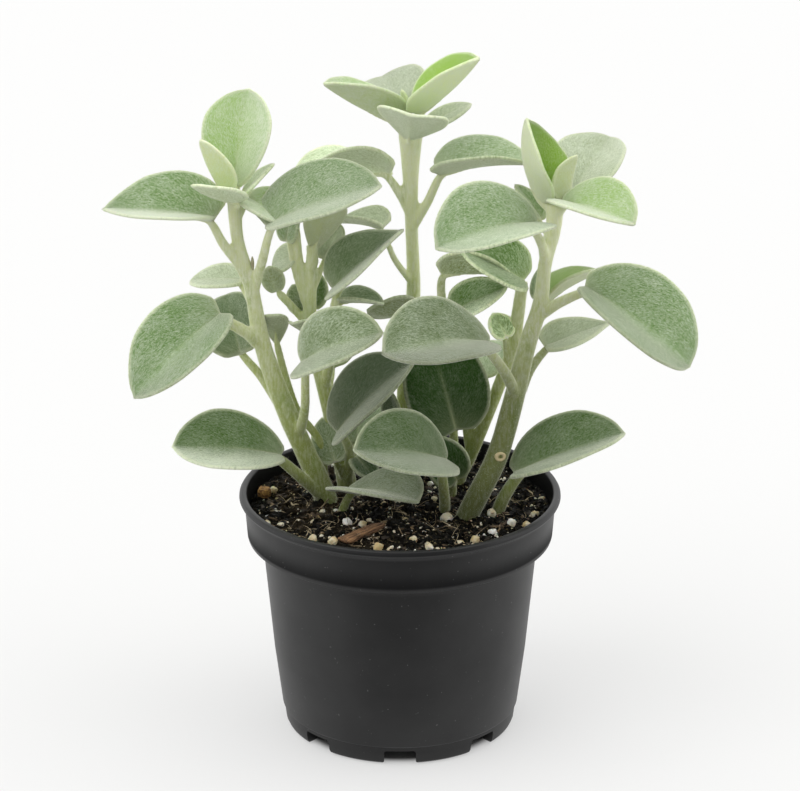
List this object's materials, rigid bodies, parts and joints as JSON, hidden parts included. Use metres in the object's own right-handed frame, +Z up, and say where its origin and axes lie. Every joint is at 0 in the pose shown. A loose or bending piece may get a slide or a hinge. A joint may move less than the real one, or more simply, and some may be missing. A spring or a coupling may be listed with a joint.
{
  "type": "potted peperomia plant",
  "caption": "Felt-leaved peperomia with thick upright stems and folded heart-shaped leaves in a round dark nursery pot of soil.",
  "frame": {"origin": "on the floor under the centre of the pot", "axes": "+Z up, -Y towards the front, where the low front leaves lie, +X to the right seen from the front"},
  "size_m": [0.1926, 0.108, 0.231],
  "materials": {
    "pot": "matte",
    "soil": "moist potting mix with perlite",
    "bark": "rough",
    "leaf": "felted with fine white hairs"
  },
  "bodies": {
    "root": {"pot": "pot", "soil": "soil", "bark_chip": "bark", "bark_chunk": "bark", "left_shoot": "leaf", "middle_shoot": "leaf", "centre_shoot": "leaf", "right_shoot": "leaf", "right_back_shoot": "leaf", "front_low_leaf": "leaf", "front_left_low_leaf": "leaf", "inner_low_leaves": "leaf", "right_low_leaf": "leaf"}
  },
  "joints": []
}
